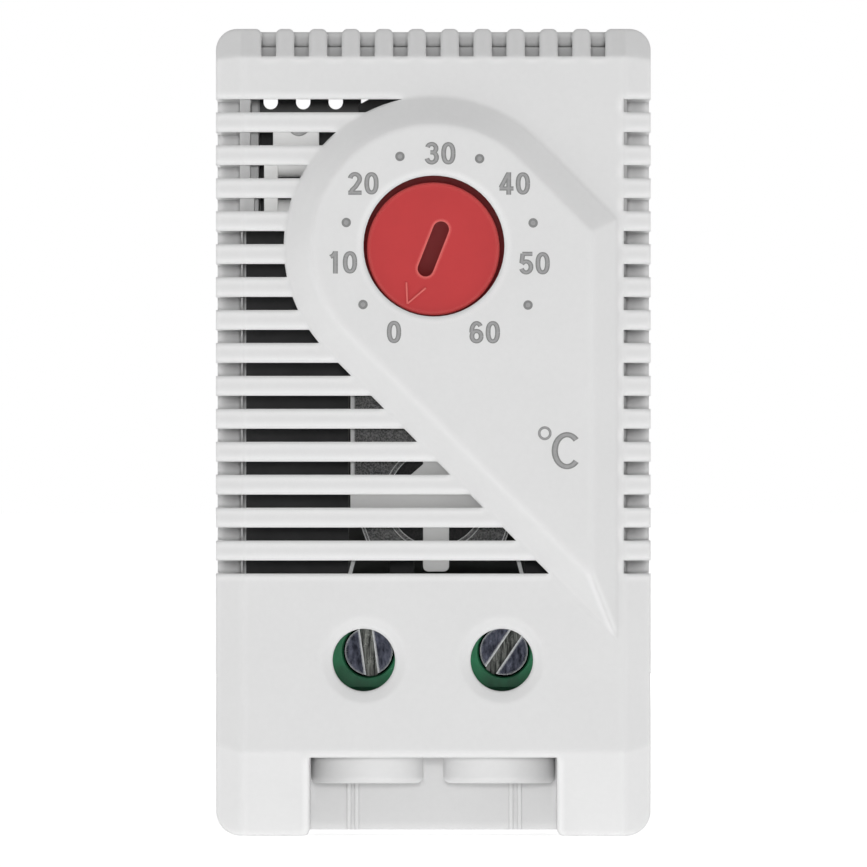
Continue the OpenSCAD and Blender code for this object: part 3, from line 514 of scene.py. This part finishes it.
def fused_layer(shapes, y0, y1, verts, faces):
    """Adds one closed layer between two depths that covers every shape, with no overlaps inside it."""
    points, rows = [], []
    for shape in shapes:
        area = sum(a[0] * b[1] - b[0] * a[1] for a, b in zip(shape, shape[1:] + shape[:1]))
        order = shape if area > 0 else shape[::-1]
        rows.append(list(range(len(points), len(points) + len(order))))
        points += [Vector(p) for p in order]
    flat, _, cells, _, _, origins = delaunay_2d_cdt(points, [], rows, 1, FUSE_GAP)
    kept = [cell for cell, origin in zip(cells, origins) if origin]
    start = len(verts)
    count = len(flat)
    for y in (y0, y1):
        verts += [(p[0] * MM, y * MM, p[1] * MM) for p in flat]
    borders = {(a, b) for cell in kept for a, b in zip(cell, cell[1:] + cell[:1])}
    for cell in kept:
        faces.append([start + i for i in cell])
        faces.append([start + count + i for i in reversed(cell)])
    for a, b in borders:
        if (b, a) not in borders:
            faces.append([start + b, start + a, start + count + a, start + count + b])


def ink_piece(name, finish, verts, faces):
    """A printed piece without loose points, riding on the housing."""
    used = sorted({i for face in faces for i in face})
    place = {old: new for new, old in enumerate(used)}
    mesh = bpy.data.meshes.new(name)
    mesh.from_pydata([verts[i] for i in used], [], [[place[i] for i in face] for face in faces])
    mesh.validate()
    mesh.materials.append(FINISH[finish])
    piece = bpy.data.objects.new(name, mesh)
    scene.collection.objects.link(piece)
    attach(piece, "housing")


def print_numbers(share, front, verts, faces):
    width, height = PEN[0] * share, PEN[1] * share
    for text, x, z in NUMBERS:
        for k, digit in enumerate(text):
            middle = x + (k - (len(text) - 1) / 2) * DIGIT_PITCH
            quads = []
            for stroke in STROKES[digit]:
                quads += stroke_quads(stroke, width, height, middle, z)
            fused_layer(quads, front, INK_BACK, verts, faces)


def print_dots(share, front, verts, faces):
    radius = DOT_R * share
    for x, z in DOTS:
        fused_layer([tuple(arc(x, z, radius, radius, 0, 345, 23))], front, INK_BACK, verts, faces)


def print_degree_mark(share, front, verts, faces):
    pen = DEGREE_PEN * share
    ring = stroke_quads(oval(0, 0, *DEGREE_SIZE), pen, pen, *DEGREE_PLACE)
    letter = stroke_quads(arc(0, 0, *LETTER_SIZE, 42, 318, 32), LETTER_PEN[0] * share, LETTER_PEN[1] * share,
                          *LETTER_PLACE)
    fused_layer(ring, front, INK_BACK, verts, faces)
    fused_layer(letter, front, INK_BACK, verts, faces)


def print_scale():
    for mark, draw in (("scale_numbers", print_numbers), ("scale_dots", print_dots),
                       ("degree_mark", print_degree_mark)):
        for part, finish, share, front in LAYERS:
            verts, faces = [], []
            draw(share, front, verts, faces)
            ink_piece(mark + part, finish, verts, faces)


# Floor, light and camera, in metres, degrees and watts

FLOOR_HALF = 12.0
FLOOR_GAP = 0.02 * MM
FLOOR_SEEN = 0.62
FLOOR_GLOW = 0.51
NEAR_GLOW = 0.125
NEAR_RISE = (0.04, 0.08)
NEAR_FALL = (0.09, 0.2)
WORLD_TOP = 0.295
WORLD_LOW = 0.08
WORLD_SIDES = 3.7
BAND_HEIGHT = 0.4
CAMERA_DISTANCE = 3.0
SENSOR_WIDTH_MM = 36.0
STRIP_AZIMUTH = 36
STRIP_DISTANCE = 0.8
STRIP_WIDTH = 0.08
STRIP_HEIGHT = 0.7
STRIP_POWER = 0.23
FLASH_HEIGHT = 0.05
FLASH_WIDTH = 0.06
FLASH_POWER = 22.0
FILL_DISTANCE = 2.0
FILL_WIDTH = 1.0
FILL_POWER = 10.0
WHITE = (1, 1, 1, 1)
PAPER_GREYS = ((0.78, 0.78, 0.78, 1), (0.82, 0.82, 0.82, 1))


def background_ray(g, mirrors=True):
    """1 for a ray from the camera, glass or, where mirrors is set, a mirror, and 0 for one that lights."""
    path = g.add("ShaderNodeLightPath").outputs
    seen = g.math("MAXIMUM", path["Is Camera Ray"], path["Is Transmission Ray"])
    return g.math("MAXIMUM", seen, path["Is Glossy Ray"]) if mirrors else seen


def floor_paper():
    """White paper that glows, a little more in a ring around the object, and looks white in the picture."""
    g = Graph("studio_floor")
    color = g.blend(g.span(g.noise(30, 4, 0.6), 0.0, 1.0), *PAPER_GREYS)
    diffuse = g.add("ShaderNodeBsdfDiffuse", Color=color)
    away = g.vectors("DISTANCE", g.place, (0, 0, 0))
    rise = g.span(away, 0.0, NEAR_GLOW, *NEAR_RISE)
    fall = g.span(away, 1.0, 0.0, *NEAR_FALL)
    lit = g.math("MULTIPLY_ADD", rise, fall, FLOOR_GLOW)
    strength = g.span(background_ray(g), lit, FLOOR_SEEN, 0.0, 1.0)
    glow = g.add("ShaderNodeEmission", Color=WHITE, Strength=strength)
    both = g.add("ShaderNodeAddShader")
    g.link(diffuse.outputs[0], both.inputs[0])
    g.link(glow.outputs[0], both.inputs[1])
    g.link(both.outputs[0], g.output.inputs["Surface"])
    return g.owner


def make_floor():
    z = cad_low[2] - FLOOR_GAP
    corners = [(FLOOR_HALF * x, FLOOR_HALF * y, z) for x, y in ((-1, -1), (1, -1), (1, 1), (-1, 1))]
    mesh = bpy.data.meshes.new("studio_floor")
    mesh.from_pydata(corners, [], [(0, 1, 2, 3)])
    mesh.materials.append(floor_paper())
    floor = bpy.data.objects.new("studio_floor", mesh)
    scene.collection.objects.link(floor)


def make_world():
    """A dome that lights the object more from above and from the sides, and is plain white in the picture."""
    g = SkyGraph("studio_world")
    band = g.span(g.axis("Z"), WORLD_LOW, WORLD_TOP, 0.0, BAND_HEIGHT)
    across = g.axis("X")
    sides = g.math("MULTIPLY_ADD", g.math("MULTIPLY", across, across), WORLD_SIDES, 1.0)
    dome = g.math("MULTIPLY", band, sides)
    strength = g.span(background_ray(g, mirrors=False), dome, 1.0, 0.0, 1.0)
    back = g.add("ShaderNodeBackground", Color=WHITE, Strength=strength)
    g.link(back.outputs[0], g.output.inputs["Surface"])


def area_light(name, place, width, height, power):
    """A rectangular lamp that faces the object."""
    data = bpy.data.lights.new(name, "AREA")
    data.shape = "RECTANGLE"
    data.size = width
    data.size_y = height
    data.energy = power
    light = bpy.data.objects.new(name, data)
    scene.collection.objects.link(light)
    light.location = place
    light.rotation_euler = (-light.location).to_track_quat("-Z", "Y").to_euler()
    return light


def strip_light(name, azimuth):
    """A tall soft strip to one side of the camera, which draws the light lines down the upright edges."""
    turn = math.radians(azimuth)
    place = (STRIP_DISTANCE * math.sin(turn), -STRIP_DISTANCE * math.cos(turn), 0.0)
    area_light(name, place, STRIP_WIDTH, STRIP_HEIGHT, STRIP_POWER)


def flash_light():
    """A small flash over the lens, whose even light falls through the slots onto what is behind them."""
    place = (0.0, -CAMERA_DISTANCE, FLASH_HEIGHT)
    light = area_light("flash_light", place, FLASH_WIDTH, FLASH_WIDTH, FLASH_POWER)
    light.visible_glossy = False


def fill_light():
    """A softbox behind the object, which gives its back the level of its front."""
    area_light("fill_light", (0.0, FILL_DISTANCE, 0.0), FILL_WIDTH, FILL_WIDTH, FILL_POWER)


def make_camera():
    """A long lens straight in front, with the housing where the photo has it."""
    half_px = PHOTO_PX / 2
    data = bpy.data.cameras.new("photo_camera")
    data.sensor_width = SENSOR_WIDTH_MM
    data.sensor_fit = "HORIZONTAL"
    data.lens = data.sensor_width * CAMERA_DISTANCE / (PHOTO_PX / PX_PER_MM * MM)
    camera = bpy.data.objects.new("photo_camera", data)
    scene.collection.objects.link(camera)
    x = (half_px - CENTRE_PX[0]) / PX_PER_MM
    z = (CENTRE_PX[1] - half_px) / PX_PER_MM
    camera.location = (x * MM, FRONT_Y * MM - CAMERA_DISTANCE, z * MM)
    camera.rotation_euler = (math.radians(90), 0, 0)
    scene.camera = camera


dress_nodes()
latch_spring()
print_scale()
make_floor()
make_world()
strip_light("left_strip_light", -STRIP_AZIMUTH)
strip_light("right_strip_light", STRIP_AZIMUTH)
flash_light()
fill_light()
make_camera()
scene.view_settings.view_transform = "Standard"
